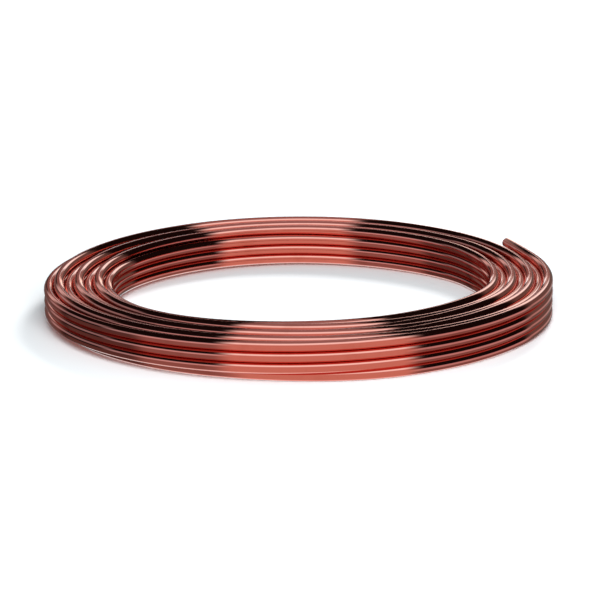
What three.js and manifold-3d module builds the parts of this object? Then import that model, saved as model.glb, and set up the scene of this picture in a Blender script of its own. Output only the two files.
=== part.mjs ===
// A ring of soft copper tube, level wound: turns stacked in upright layers, each layer nested in the one
// inside it. Millimetres, +Z up. The ring's axis is Z and it lies on z = 0.
import * as THREE from 'three';
import { mergeVertices } from 'three/addons/utils/BufferGeometryUtils.js';
import Module from 'manifold-3d';

// The tube and the way it is wound.
const tubeDia = 15;
const tubeWall = 1;
const ringBore = 550;          // inside the innermost layer
const layerCount = 7;          // upright layers, counted outwards from the bore
const rowCount = 4;            // turns stacked in every other layer; the layers between hold one fewer
const footAngle = 15;          // degrees each side of a ridge's crest that lie flat, on the floor and on top

// The free end of the outermost top turn, and the lap where that turn sinks back into the ring.
const leaveAzimuth = 16;       // where the last length leaves the ring, degrees from +X
const straightLength = 110;    // the last length, sprung straight and clear of the ring
const openBore = 80;           // how far the end's bore is cut in
const levelArc = 115;          // degrees round the ring over which the turn still lies level on top
const lapArc = 330;            // degrees round the ring after which it is all inside
const beddedBy = 0.6;          // how far the turn is drawn down into the ones it lies on

// Fineness of the facets.
const ringSides = 44;
const arcStep = 36;            // degrees of a turn's outline to one facet
const tubeSides = 12;
const lapSteps = 48;
const boreSteps = 4;
const mergeWithin = 0.001;

const tubeRadius = tubeDia / 2;
const boreRadius = tubeRadius - tubeWall;
const nestRise = tubeDia / 2;
const nestStep = Math.sqrt(tubeDia ** 2 - nestRise ** 2);
const foot = THREE.MathUtils.degToRad(footAngle);
const footDrop = tubeRadius * Math.cos(foot);
const outerLayer = layerCount - 1;

const isNested = (layer) => layer % 2 === 1;
const layerRadius = (layer) => ringBore / 2 + tubeRadius + layer * nestStep;
const rowHeight = (layer, row) => footDrop + row * tubeDia + (isNested(layer) ? nestRise : 0);
const topRow = (layer) => rowCount - (isNested(layer) ? 2 : 1);
// The outermost layer's top turn isn't closed on itself: it is the one with the free end.
const topClosedRow = (layer) => topRow(layer) - (layer === outerLayer ? 1 : 0);

// Centres of the closed turns round the edge of the section, counter-clockwise from the inner foot.
function edgeTurns() {
  const turns = [];
  const add = (layer, row) => turns.push(new THREE.Vector2(layerRadius(layer), rowHeight(layer, row)));
  for (let layer = 0; layer < outerLayer; layer++) add(layer, 0);
  for (let row = 0; row < topClosedRow(outerLayer); row++) add(outerLayer, row);
  for (let layer = outerLayer; layer > 0; layer--) add(layer, topClosedRow(layer));
  for (let row = topRow(0); row > 0; row--) add(0, row);
  return turns;
}

function arcPoints(centre, from, to) {
  const count = Math.max(1, Math.round(THREE.MathUtils.radToDeg(to - from) / arcStep));
  return Array.from({ length: count + 1 }, (_, i) => {
    const angle = from + ((to - from) * i) / count;
    return new THREE.Vector2(Math.cos(angle), Math.sin(angle)).multiplyScalar(tubeRadius).add(centre);
  });
}

// Each turn shows from where it touches the turn before it round to where it touches the one after. Those
// on the floor and those on top have their crests left flat, so that rings lie and stack level.
function windingOutline() {
  const turns = edgeTurns();
  const lowest = Math.min(...turns.map((turn) => turn.y));
  const highest = Math.max(...turns.map((turn) => turn.y));
  const outline = turns.flatMap((turn, i) => {
    const from = turns.at(i - 1).clone().sub(turn).angle();
    let to = turns[(i + 1) % turns.length].clone().sub(turn).angle();
    if (to < from) to += 2 * Math.PI;
    if (turn.y > lowest && turn.y < highest) return arcPoints(turn, from, to).slice(0, -1);
    let crest = turn.y === lowest ? 1.5 * Math.PI : 0.5 * Math.PI;
    if (crest < from) crest += 2 * Math.PI;
    return [...arcPoints(turn, from, crest - foot), ...arcPoints(turn, crest + foot, to).slice(0, -1)];
  });
  return [...outline, outline[0].clone()];
}

// The centre line of the outermost top turn, from its cut end back round the ring until it has sunk into a
// turn halfway down the next layer in.
class OuterTopTurn extends THREE.Curve {
  getPoint(t, target = new THREE.Vector3()) {
    const radius = layerRadius(outerLayer);
    const leave = THREE.MathUtils.degToRad(leaveAzimuth);
    const level = rowHeight(outerLayer, topRow(outerLayer)) - beddedBy;
    const buried = rowHeight(outerLayer - 1, Math.floor(topRow(outerLayer - 1) / 2));
    const run = t * (straightLength + THREE.MathUtils.degToRad(lapArc) * radius);
    if (run < straightLength) {
      const ahead = straightLength - run;
      const x = radius * Math.cos(leave) - ahead * Math.sin(leave);
      const y = radius * Math.sin(leave) + ahead * Math.cos(leave);
      return target.set(x, y, level);
    }
    const turned = (run - straightLength) / radius;
    const sunk = THREE.MathUtils.smoothstep(THREE.MathUtils.radToDeg(turned), levelArc, lapArc);
    const inward = radius - sunk * nestStep;
    const angle = leave - turned;
    const height = THREE.MathUtils.lerp(level, buried, sunk);
    return target.set(inward * Math.cos(angle), inward * Math.sin(angle), height);
  }
}

// The part of a curve up to a given length along it, carried straight on past its start.
class CurveStart extends THREE.Curve {
  constructor(curve, length, overrun) {
    super();
    this.curve = curve;
    this.length = length;
    this.overrun = overrun;
    this.whole = curve.getLength();
  }

  getPoint(t, target = new THREE.Vector3()) {
    const run = t * (this.length + this.overrun) - this.overrun;
    target.copy(this.curve.getPointAt(Math.max(0, run) / this.whole));
    return target.addScaledVector(this.curve.getTangentAt(0), Math.min(0, run));
  }
}

function rodAlong(curve, radius, steps) {
  const circle = new THREE.Shape().absarc(0, 0, radius, 0, 2 * Math.PI);
  const settings = { steps, curveSegments: tubeSides, bevelEnabled: false, extrudePath: curve };
  return new THREE.ExtrudeGeometry(circle, settings);
}

const wasm = await Module();
wasm.setup();

function toManifold(geometry) {
  const bare = new THREE.BufferGeometry();
  bare.setAttribute('position', geometry.getAttribute('position').clone());
  if (geometry.index) bare.setIndex(geometry.index.clone());
  const merged = mergeVertices(bare, mergeWithin);
  return new wasm.Manifold(new wasm.Mesh({
    numProp: 3,
    vertProperties: new Float32Array(merged.getAttribute('position').array),
    triVerts: new Uint32Array(merged.index.array),
  }));
}

function toGeometry(solid) {
  const mesh = solid.getMesh();
  const geometry = new THREE.BufferGeometry();
  geometry.setAttribute('position', new THREE.BufferAttribute(mesh.vertProperties, 3));
  geometry.setIndex(new THREE.BufferAttribute(mesh.triVerts, 1));
  geometry.computeVertexNormals();
  return geometry;
}

// Turned about Y by LatheGeometry, then stood on Z.
const turned = toManifold(new THREE.LatheGeometry(windingOutline(), ringSides).rotateX(Math.PI / 2));
const outerTurn = new OuterTopTurn();
const rod = toManifold(rodAlong(outerTurn, tubeRadius, lapSteps));
const bore = toManifold(rodAlong(new CurveStart(outerTurn, openBore, tubeWall), boreRadius, boreSteps));

const copper = new THREE.MeshStandardMaterial({ color: 0xc8654c, roughness: 0.2, metalness: 1 });
const tube = new THREE.Mesh(toGeometry(turned.add(rod).subtract(bore)), copper);
tube.name = 'copper_tube';

const ring = new THREE.Group();
ring.add(tube);

export default ring;
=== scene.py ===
import math

import bpy
from mathutils import Matrix, Vector


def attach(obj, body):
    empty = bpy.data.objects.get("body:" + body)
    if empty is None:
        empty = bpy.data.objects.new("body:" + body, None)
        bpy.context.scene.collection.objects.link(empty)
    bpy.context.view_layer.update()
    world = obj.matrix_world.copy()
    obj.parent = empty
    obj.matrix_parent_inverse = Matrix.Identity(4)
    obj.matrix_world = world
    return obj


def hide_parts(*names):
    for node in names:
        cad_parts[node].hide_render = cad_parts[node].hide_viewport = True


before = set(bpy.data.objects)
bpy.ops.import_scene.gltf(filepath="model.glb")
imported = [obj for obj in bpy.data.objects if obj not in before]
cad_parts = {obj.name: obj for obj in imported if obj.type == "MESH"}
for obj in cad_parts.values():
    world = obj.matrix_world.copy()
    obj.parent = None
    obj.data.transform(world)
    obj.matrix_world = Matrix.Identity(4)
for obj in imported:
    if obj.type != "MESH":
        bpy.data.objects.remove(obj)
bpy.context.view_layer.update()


# Node trees. A Wire is one output; Python's operators on it add Math nodes.
def operator(operation, swapped=False):
    def apply(self, other=0.0):
        pair = (other, self) if swapped else (self, other)
        return self.graph.maths(operation, *pair)
    return apply


class Wire:
    def __init__(self, graph, socket):
        self.graph, self.socket = graph, socket

    def out(self, name):  # another output of the same node
        return Wire(self.graph, self.socket.node.outputs[name])

    __add__, __radd__ = operator("ADD"), operator("ADD", True)
    __sub__, __rsub__ = operator("SUBTRACT"), operator("SUBTRACT", True)
    __mul__, __rmul__ = operator("MULTIPLY"), operator("MULTIPLY", True)
    __truediv__, __rtruediv__ = operator("DIVIDE"), operator("DIVIDE", True)
    __pow__ = operator("POWER")
    __mod__ = operator("FLOORED_MODULO")
    __gt__, __lt__ = operator("GREATER_THAN"), operator("LESS_THAN")


class Graph:
    def __init__(self, tree):
        self.tree = tree

    # settings go first because they change which sockets a node has
    def node(self, kind, settings=None, values=None):
        made = self.tree.nodes.new(kind)
        for name, value in (settings or {}).items():
            setattr(made, name, value)
        for key, value in (values or {}).items():
            usable = [s for s in made.inputs if s.enabled and not s.is_unavailable]
            socket = usable[key] if isinstance(key, int) else next(s for s in usable if s.name == key)
            if isinstance(value, Wire):
                self.tree.links.new(value.socket, socket)
            else:
                socket.default_value = value
        shown = next((s for s in made.outputs if s.enabled and not s.is_unavailable), None)
        return Wire(self, shown)

    def maths(self, operation, *values):
        return self.node("ShaderNodeMath", {"operation": operation}, dict(enumerate(values)))

    def mix(self, share, first, second):  # numbers
        return first + share * (second - first)

    def smooth(self, value, start, end):
        settings = {"interpolation_type": "SMOOTHSTEP"}
        return self.node("ShaderNodeMapRange", settings, {"Value": value, "From Min": start, "From Max": end})

    def mixColours(self, share, first, second, blend="MIX"):
        settings = {"data_type": "RGBA", "blend_type": blend}
        return self.node("ShaderNodeMix", settings, {"Factor": share, "A": first, "B": second})


def newMaterial(name):
    material = bpy.data.materials.new(name)
    material.use_nodes = True
    material.node_tree.nodes.clear()
    return material, Graph(material.node_tree)


# Drawn copper: bright, with faint lines along the tube and a little tarnish.
copperFinish = {
    "colour": (0.80, 0.205, 0.155),
    "glancing": (1.0, 0.80, 0.75),       # tint where it is seen edge on
    "tarnish": (0.66, 0.15, 0.105),
    "tarnishShare": 0.5,
    "tarnishRange": (0.48, 0.72),        # levels of the cloud noise between which it comes in
    "cloudScale": 22.0,
    "roughness": 0.05,
    "roughnessSpread": 0.07,
    "lineScale": (6, 900, 900),          # along the tube, then across it
    "lineHeight": 0.00002,
    "lineStrength": 0.15,
    "waveScale": (22, 70, 70),
    "waveHeight": 0.0001,
    "waveStrength": 0.5,
}


def makeCopper(look):
    material, graph = newMaterial("drawnCopper")
    coord = graph.node("ShaderNodeAttribute", {"attribute_name": "tubeCoord"}).out("Vector")
    place = graph.node("ShaderNodeTexCoord").out("Object")
    clouds = graph.node("ShaderNodeTexNoise", {}, {
        "Vector": place, "Scale": look["cloudScale"], "Detail": 5.0, "Roughness": 0.6,
    })
    patch = graph.smooth(clouds, *look["tarnishRange"])
    colour = graph.mixColours(patch * look["tarnishShare"], (*look["colour"], 1), (*look["tarnish"], 1))

    # fine lines drawn along the tube, over long shallow waves
    lengthwise = graph.node("ShaderNodeMapping", {}, {"Vector": coord, "Scale": look["lineScale"]})
    lines = graph.node("ShaderNodeTexNoise", {}, {"Vector": lengthwise, "Scale": 1.0, "Detail": 4.0})
    roughness = look["roughness"] + look["roughnessSpread"] * (lines * 0.5 + patch * 0.5)
    slow = graph.node("ShaderNodeMapping", {}, {"Vector": coord, "Scale": look["waveScale"]})
    waves = graph.node("ShaderNodeTexNoise", {}, {"Vector": slow, "Scale": 1.0, "Detail": 1.0})
    swell = graph.node("ShaderNodeBump", {}, {
        "Strength": look["waveStrength"], "Distance": look["waveHeight"], "Height": waves,
    })
    bump = graph.node("ShaderNodeBump", {}, {
        "Strength": look["lineStrength"], "Distance": look["lineHeight"], "Height": lines, "Normal": swell,
    })
    shader = graph.node("ShaderNodeBsdfPrincipled", {}, {
        "Base Color": colour, "Metallic": 1.0, "Roughness": roughness,
        "Specular Tint": (*look["glancing"], 1), "Normal": bump,
    })
    graph.node("ShaderNodeOutputMaterial", {}, {"Surface": shader})
    return material


copper = makeCopper(copperFinish)

# The wound tube, in metres. Heights and spacings that end in Share are in tube diameters.
tubeCoil = {
    "Tube Diameter": 0.015,
    "Wall": 0.001,
    "Ring Radius": 0.3625,       # the outermost layer's centre line, at the sides
    "Ring Bulge": 0.004,         # more than that at the front and back
    "Turns": 24.4,
    "Rows": 4.0,
    "Layers": 7.0,
    "Nested Share": 0.86,        # layer to layer where turns lie in each other's grooves
    "Loose Share": 0.95,         # the same on the side away from the free end
    "Crossing Share": 1.02,      # and where layers cross
    "Crossing From": 0.35,       # sine of the angle round from the side where crossing begins
    "Crossing Full": 0.95,       # and where it is complete
    "Low Step Start": 0.185,     # parts of a turn between which the tube steps one layer in, on the floor
    "Low Step End": 0.303,
    "High Step Start": 0.09,     # and on top
    "High Step End": 0.45,
    "Hump Share": 0.11,          # how far a turn rises at the back, where it comes up into the next layer
    "Hump Lean": 0.5,            # how far that rise leans towards the free end's side
    "Crown Share": 0.15,         # how far the rows rise at the front, where layers cross
    "Swap Share": 0.15,          # and how far every other layer rises past its neighbours there
    "Swap Sharpness": 8.0,       # how closely that keeps to the very front
    "Straight Length": 0.106,    # of the free end
    "Sag Share": 0.12,           # how far it hangs at its tip
    "Leave Angle": math.radians(16),  # where it leaves the ring, round from +X
    "Nest Angle": math.radians(8),    # where the layers nest, round from +X, and again half a turn on
    "Wobble Share": 0.012,       # how uneven the winding is
    "Wobble Pace": 2.3,          # and how fast that changes along it
    "Radius Seed": 11.0,
    "Height Seed": 47.0,
    "Edge": 0.00025,             # the broken edges of the cut ends
    "Outer Bore Length": 0.08,   # how deep the bore of each end is drawn
    "Inner Bore Length": 0.015,
    "Sharp Angle": math.radians(30),
    "Rings Per Turn": 150,
    "Sides": 24,
}


# The number of rings along the tube, and the place of each.
def windTurns(g, given):
    diameter, ringRadius, rows = given.out("Tube Diameter"), given.out("Ring Radius"), given.out("Rows")
    leave, nest, perTurn = given.out("Leave Angle"), given.out("Nest Angle"), given.out("Rings Per Turn")
    fullTurn = 2 * math.pi

    # turns along the tube, counted from where the free end leaves the ring
    straightTurns = given.out("Straight Length") / (ringRadius * fullTurn)
    count = g.maths("ROUND", (given.out("Turns") + straightTurns) * perTurn) + 1
    index = g.node("GeometryNodeInputIndex")
    along = index / perTurn - straightTurns
    turn = g.maths("MAXIMUM", along, 0.0)
    ahead = g.maths("MAXIMUM", along * -1, 0.0) * fullTurn * ringRadius
    angle = leave - turn * fullTurn
    sine, cosine = g.maths("SINE", angle), g.maths("COSINE", angle)

    # each layer climbs or falls its rows, then lies level for half a turn while it steps one layer in
    wound = turn - (leave - nest) / fullTurn
    climbTurns = rows - 1
    layer = g.maths("FLOOR", wound / (climbTurns + 0.5))
    layer = g.maths("MINIMUM", g.maths("MAXIMUM", layer, 0.0), given.out("Layers") - 1)
    within = wound - layer * (climbTurns + 0.5)
    climb = g.maths("MINIMUM", g.maths("MAXIMUM", within, 0.0), climbTurns)
    rising = layer % 2.0
    level = g.mix(rising, rows - 0.5 - climb, climb + 0.5)
    past = within - climbTurns
    isLevel = past > 0.0
    late = nest / fullTurn
    stepStart = g.mix(rising, given.out("Low Step Start"), given.out("High Step Start")) + late
    stepEnd = g.mix(rising, given.out("Low Step End"), given.out("High Step End")) + late
    depth = layer + g.smooth(past, stepStart, stepEnd)

    # layers lie closer where they nest than where they cross
    aslant = g.maths("ABSOLUTE", g.maths("SINE", angle - nest))
    crossing = g.smooth(aslant, given.out("Crossing From"), given.out("Crossing Full"))
    nested = g.mix(cosine * 0.5 + 0.5, given.out("Loose Share"), given.out("Nested Share"))
    spacing = g.mix(crossing, nested, given.out("Crossing Share")) * diameter
    radius = ringRadius + given.out("Ring Bulge") * sine * sine - depth * spacing

    # and turns rise where they cross
    front = g.maths("MAXIMUM", sine * -1, 0.0)
    back = g.maths("MAXIMUM", sine, 0.0)
    isInnermost = layer > given.out("Layers") - 1.5
    isBetween = (layer > 0.5) * (1 - isInnermost)
    swap = g.mix(rising, isInnermost - isBetween, 1.0) * (level - 0.5) / climbTurns
    crown = front * front * given.out("Crown Share")
    crown = crown + front ** given.out("Swap Sharpness") * given.out("Swap Share") * swap
    comingUp = rising * back * (back + cosine * given.out("Hump Lean")) * given.out("Hump Share")
    hump = g.mix(isLevel, crown, comingUp)
    sprung = ahead / given.out("Straight Length")
    height = (level + hump - sprung * sprung * given.out("Sag Share")) * diameter

    def wander(seed):
        where = turn * given.out("Wobble Pace") + given.out(seed)
        noise = g.node("ShaderNodeTexNoise", {"noise_dimensions": "1D"}, {"W": where, "Scale": 1.0})
        return (noise - 0.5) * 2 * given.out("Wobble Share") * diameter
    radius = radius + wander("Radius Seed")
    height = g.maths("MAXIMUM", height + wander("Height Seed"), diameter / 2)
    x = radius * cosine - ahead * g.maths("SINE", leave)
    y = radius * sine + ahead * g.maths("COSINE", leave)
    return count, g.node("ShaderNodeCombineXYZ", {}, {"X": x, "Y": y, "Z": height})


# A closed tube along those places. It remembers how far along it and where round it each point is.
def sweepTube(g, given, count, place):
    line = g.node("GeometryNodeCurvePrimitiveLine", {"mode": "POINTS"})
    path = g.node("GeometryNodeResampleCurve", {"mode": "COUNT"}, {"Curve": line, "Count": count})
    path = g.node("GeometryNodeSetPosition", {}, {"Geometry": path, "Position": place})
    path = g.node("GeometryNodeSetCurveNormal", {"mode": "Z_UP"}, {"Curve": path})
    path = g.node("GeometryNodeStoreNamedAttribute", {"data_type": "FLOAT", "domain": "POINT"}, {
        "Geometry": path, "Name": "along", "Value": g.node("GeometryNodeSplineParameter").out("Length"),
    })
    section = g.node("GeometryNodeCurvePrimitiveCircle", {"mode": "RADIUS"}, {
        "Resolution": given.out("Sides"), "Radius": given.out("Tube Diameter") / 2,
    })
    section = g.node("GeometryNodeStoreNamedAttribute", {"data_type": "FLOAT_VECTOR", "domain": "POINT"}, {
        "Geometry": section, "Name": "ring", "Value": g.node("GeometryNodeInputPosition"),
    })
    return g.node("GeometryNodeCurveToMesh", {}, {"Curve": path, "Profile Curve": section, "Fill Caps": True})


# Both ends: a broken edge, the cut face, another broken edge and the bore.
def cutEnds(g, given, tube):
    diameter, edge = given.out("Tube Diameter"), given.out("Edge")
    outer = diameter / 2
    inner = outer - given.out("Wall")
    chosen = g.node("GeometryNodeInputMeshFaceNeighbors") > 4.0  # only the caps have more corners
    height = g.node("ShaderNodeSeparateXYZ", {}, {"Vector": g.node("GeometryNodeInputPosition")}).out("Z")
    isOuterEnd = height > given.out("Rows") * diameter * 0.5
    boreLength = g.mix(isOuterEnd, given.out("Inner Bore Length"), given.out("Outer Bore Length"))
    steps = [(edge, outer - edge), (0.0, inner + edge), (edge * -1, inner), (boreLength * -1, inner)]
    size = outer
    for offset, wanted in steps:
        tube = g.node("GeometryNodeExtrudeMesh", {"mode": "FACES"}, {
            "Mesh": tube, "Selection": chosen, "Offset Scale": offset, "Individual": True,
        })
        chosen = tube.out("Top")
        tube = g.node("GeometryNodeScaleElements", {"domain": "FACE"}, {
            "Geometry": tube, "Selection": chosen, "Scale": wanted / size,
        })
        size = wanted
    return tube


# The coordinates that the copper reads, and the shading.
def finishTube(g, given, tube, material):
    def named(name, kind):
        return g.node("GeometryNodeInputNamedAttribute", {"data_type": kind}, {"Name": name})
    ring = g.node("ShaderNodeSeparateXYZ", {}, {"Vector": named("ring", "FLOAT_VECTOR")})
    coord = g.node("ShaderNodeCombineXYZ", {}, {
        "X": named("along", "FLOAT"), "Y": ring.out("X"), "Z": ring.out("Y"),
    })
    tube = g.node("GeometryNodeStoreNamedAttribute", {"data_type": "FLOAT_VECTOR", "domain": "POINT"}, {
        "Geometry": tube, "Name": "tubeCoord", "Value": coord,
    })
    for spare in ("along", "ring"):
        tube = g.node("GeometryNodeRemoveAttribute", {}, {"Geometry": tube, "Name": spare})
    sharp = g.node("GeometryNodeInputMeshEdgeAngle") > given.out("Sharp Angle")
    tube = g.node("GeometryNodeSetShadeSmooth", {"domain": "FACE"}, {"Geometry": tube, "Shade Smooth": True})
    tube = g.node("GeometryNodeSetShadeSmooth", {"domain": "EDGE"}, {
        "Geometry": tube, "Selection": sharp, "Shade Smooth": False,
    })
    tube = g.node("GeometryNodeRealizeInstances", {}, {"Geometry": tube})
    return g.node("GeometryNodeSetMaterial", {}, {"Geometry": tube, "Material": material})


def makeCoilTree(sizes, material):
    tree = bpy.data.node_groups.new("woundTube", "GeometryNodeTree")
    for name, value in sizes.items():
        kind = "NodeSocketInt" if isinstance(value, int) else "NodeSocketFloat"
        tree.interface.new_socket(name, in_out="INPUT", socket_type=kind)
    tree.interface.new_socket("Geometry", in_out="OUTPUT", socket_type="NodeSocketGeometry")
    g = Graph(tree)
    given = g.node("NodeGroupInput")
    count, place = windTurns(g, given)
    tube = cutEnds(g, given, sweepTube(g, given, count, place))
    g.node("NodeGroupOutput", {}, {"Geometry": finishTube(g, given, tube, material)})
    return tree


def bakeTree(name, tree, values):
    holder = bpy.data.objects.new(name + "Source", bpy.data.meshes.new(name + "Source"))
    bpy.context.collection.objects.link(holder)
    modifier = holder.modifiers.new("shape", "NODES")
    modifier.node_group = tree
    for item in tree.interface.items_tree:
        if item.item_type == "SOCKET" and item.in_out == "INPUT":
            modifier[item.identifier] = values[item.name]
    shaped = holder.evaluated_get(bpy.context.evaluated_depsgraph_get())
    piece = bpy.data.objects.new(name, bpy.data.meshes.new_from_object(shaped))
    bpy.context.collection.objects.link(piece)
    holder.modifiers.clear()
    bpy.data.objects.remove(holder)
    return piece


tube = bakeTree("wound_tube", makeCoilTree(tubeCoil, copper), tubeCoil)
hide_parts("copper_tube")
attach(tube, "root")
print("tube:", len(tube.data.vertices), "vertices,", len(tube.data.polygons), "faces")


# The studio: a white floor and a surround of soft cards. Each card is placed by the surfaces that show it
# to the camera: the way they face, in degrees round from +X, and how steeply, 0 for upright and 90 for up.
studio = {
    "floorSize": 40.0,
    "floorColour": (0.9, 0.9, 0.91),
    "floorRoughness": 0.6,
    "floorGloss": 0.2,
    "glowRange": (0.7, 1.5),     # how far out the floor's own glow begins, and where it is full
    "lookAlong": (0.0, 0.966, -0.258),  # the way the camera looks, which the cards are laid out for
    "fill": (0.008, 0.008, 0.008),      # light from where there is no card
    "softness": 3.0,             # half the width of a card's faded edge, in degrees
    "cards": [
        # a window behind the camera: its bright panes, and the wall above and below
        {"faces": (-107, -67), "tilts": (46, 95), "light": (0.35, 0.45, 0.5)},
        {"faces": (-107, -64), "tilts": (28, 46), "light": (1.2, 2.3, 2.6)},
        {"faces": (-107, -64), "tilts": (-40, 28), "light": (0.7, 0.65, 0.6)},
        # the pale table all round the front
        {"faces": (-175, 0), "tilts": (-95, -38), "light": (1.0, 1.7, 1.9)},
        # dim walls and thin strip lights to the left of the window
        {"faces": (-128, -107), "tilts": (-40, 20), "light": (0.3, 0.3, 0.3)},
        {"faces": (-155, -128), "tilts": (-40, 8), "light": (0.1, 0.1, 0.1)},
        {"faces": (-138, -107), "tilts": (10, 24), "light": (0.45, 0.75, 0.9)},
        {"faces": (-165, -138), "tilts": (20, 36), "light": (0.3, 0.5, 0.6)},
        # and to its right
        {"faces": (-64, -27), "tilts": (-40, 12), "light": (0.25, 0.25, 0.25)},
        {"faces": (-64, -27), "tilts": (-6, 12), "light": (0.35, 0.5, 0.6)},
        # right-hand side: tall cards, and a strip light over a dim wall
        {"faces": (-26, -7), "tilts": (60, 95), "light": (1.3, 2.6, 2.9)},
        {"faces": (-7, 8), "tilts": (60, 95), "light": (0.3, 0.3, 0.3)},
        {"faces": (8, 27), "tilts": (15, 95), "light": (1.6, 2.2, 2.1)},
        {"faces": (-27, 8), "tilts": (-35, 60), "light": (0.15, 0.2, 0.2)},
        {"faces": (-27, 8), "tilts": (5, 22), "light": (0.35, 0.45, 0.5)},
        # left-hand side: the same
        {"faces": (154, 169), "tilts": (60, 95), "light": (1.3, 2.2, 2.4)},
        {"faces": (169, 189), "tilts": (60, 95), "light": (0.25, 0.2, 0.2)},
        {"faces": (189, 196), "tilts": (44, 95), "light": (0.7, 1.1, 1.2)},
        {"faces": (150, 203), "tilts": (-40, 50), "light": (0.15, 0.15, 0.15)},
        # behind the ring, and overhead
        {"faces": (73, 106), "tilts": (60, 95), "light": (0.35, 0.6, 0.75)},
        {"faces": (-190, 190), "tilts": (89, 95), "light": (0.45, 0.9, 1.1)},
    ],
    "ambient": (0.37, 0.44, 0.46),  # what matt surfaces get from the surround
    "lamps": {  # place, aim, size, watts, colour
        "backLamp": ((0.75, 2.1, 1.5), (0, 0, 0), 0.9, 62.0, (1.0, 0.98, 0.97)),
        "frontLamp": ((0.1, -1.6, 1.0), (-0.05, -0.45, 0), 1.2, 40.0, (1.0, 1.0, 1.0)),
    },
}


def makeFloor(look):
    half = look["floorSize"] / 2
    mesh = bpy.data.meshes.new("floor")
    corners = [(-half, -half, 0), (half, -half, 0), (half, half, 0), (-half, half, 0)]
    mesh.from_pydata(corners, [], [(0, 1, 2, 3)])
    floor = bpy.data.objects.new("floor", mesh)
    bpy.context.collection.objects.link(floor)
    material, graph = newMaterial("paleFloor")
    spot = graph.node("ShaderNodeSeparateXYZ", {}, {"Vector": graph.node("ShaderNodeTexCoord").out("Object")})
    away = (spot.out("X") * spot.out("X") + spot.out("Y") * spot.out("Y")) ** 0.5
    glow = graph.mixColours(graph.smooth(away, *look["glowRange"]), (0, 0, 0, 1), (1, 1, 1, 1))
    shader = graph.node("ShaderNodeBsdfPrincipled", {}, {
        "Base Color": (*look["floorColour"], 1), "Roughness": look["floorRoughness"],
        "Specular IOR Level": look["floorGloss"], "Emission Color": glow, "Emission Strength": 1.0,
    })
    graph.node("ShaderNodeOutputMaterial", {}, {"Surface": shader})
    mesh.materials.append(material)
    floor.visible_glossy = False


def makeWorld(look):
    world = bpy.data.worlds.new("studio")
    bpy.context.scene.world = world
    world.use_nodes = True
    world.node_tree.nodes.clear()
    g = Graph(world.node_tree)
    way = g.node("ShaderNodeTexCoord").out("Generated")
    back = g.node("ShaderNodeVectorMath", {"operation": "SUBTRACT"}, {0: way, 1: look["lookAlong"]})
    back = g.node("ShaderNodeSeparateXYZ", {}, {"Vector": back})
    x, y, z = back.out("X"), back.out("Y"), back.out("Z")
    facing = g.maths("ARCTAN2", y, x) * (180 / math.pi)
    tilt = g.maths("ARCTAN2", z, (x * x + y * y) ** 0.5) * (180 / math.pi)
    soft = look["softness"]

    colour = (*look["fill"], 1)
    for card in look["cards"]:
        (left, right), (low, high) = card["faces"], card["tilts"]
        aside = g.maths("ABSOLUTE", (facing - (left + right) / 2 + 180) % 360.0 - 180)
        half = (right - left) / 2
        share = g.smooth(aside, half + soft, half - soft)
        share = share * g.smooth(tilt, low - soft, low + soft) * g.smooth(tilt, high + soft, high - soft)
        level = g.mixColours(share, (0, 0, 0, 1), (*card["light"], 1))
        colour = g.mixColours(1.0, level, colour, "ADD")
    rays = g.node("ShaderNodeLightPath")
    colour = g.mixColours(rays.out("Is Glossy Ray"), (*look["ambient"], 1), colour)
    colour = g.mixColours(rays.out("Is Camera Ray"), colour, (1, 1, 1, 1))
    light = g.node("ShaderNodeBackground", {}, {"Color": colour, "Strength": 1.0})
    g.node("ShaderNodeOutputWorld", {}, {"Surface": light})


def makeLamps(look):
    for name, (place, aim, size, watts, colour) in look["lamps"].items():
        data = bpy.data.lights.new(name, "AREA")
        data.shape, data.size, data.energy, data.color = "DISK", size, watts, colour
        lamp = bpy.data.objects.new(name, data)
        bpy.context.collection.objects.link(lamp)
        lamp.location = place
        lamp.rotation_euler = (Vector(aim) - Vector(place)).to_track_quat("-Z", "Y").to_euler()
        lamp.visible_glossy = lamp.visible_camera = False


makeFloor(studio)
makeWorld(studio)
makeLamps(studio)
print("studio ready")

# The camera looks along +Y from in front and above, tipped a little to one side.
view = {
    "focalPixels": 2654.5,
    "framePixels": 601,
    "sensorWidth": 36.0,
    "distance": 3.942,
    "elevation": math.radians(14.95),
    "roll": 0.009,
    "target": (0.0027, 0.0589, 0.0002),
}


def makeCamera(look):
    data = bpy.data.cameras.new("camera")
    data.sensor_width = look["sensorWidth"]
    data.lens = look["focalPixels"] / look["framePixels"] * data.sensor_width
    camera = bpy.data.objects.new("camera", data)
    bpy.context.collection.objects.link(camera)
    cosine, sine = math.cos(look["elevation"]), math.sin(look["elevation"])
    ahead, right, up = Vector((0, cosine, -sine)), Vector((1, 0, 0)), Vector((0, sine, cosine))
    tipped = Matrix.Rotation(look["roll"], 3, ahead)
    right, up = tipped @ right, tipped @ up
    place = Vector(look["target"]) - ahead * look["distance"]
    turned = Matrix((right, up, -ahead)).transposed().to_4x4()
    camera.matrix_world = Matrix.Translation(place) @ turned
    bpy.context.scene.camera = camera


makeCamera(view)
bpy.context.scene.view_settings.view_transform = "Standard"
print("camera ready")
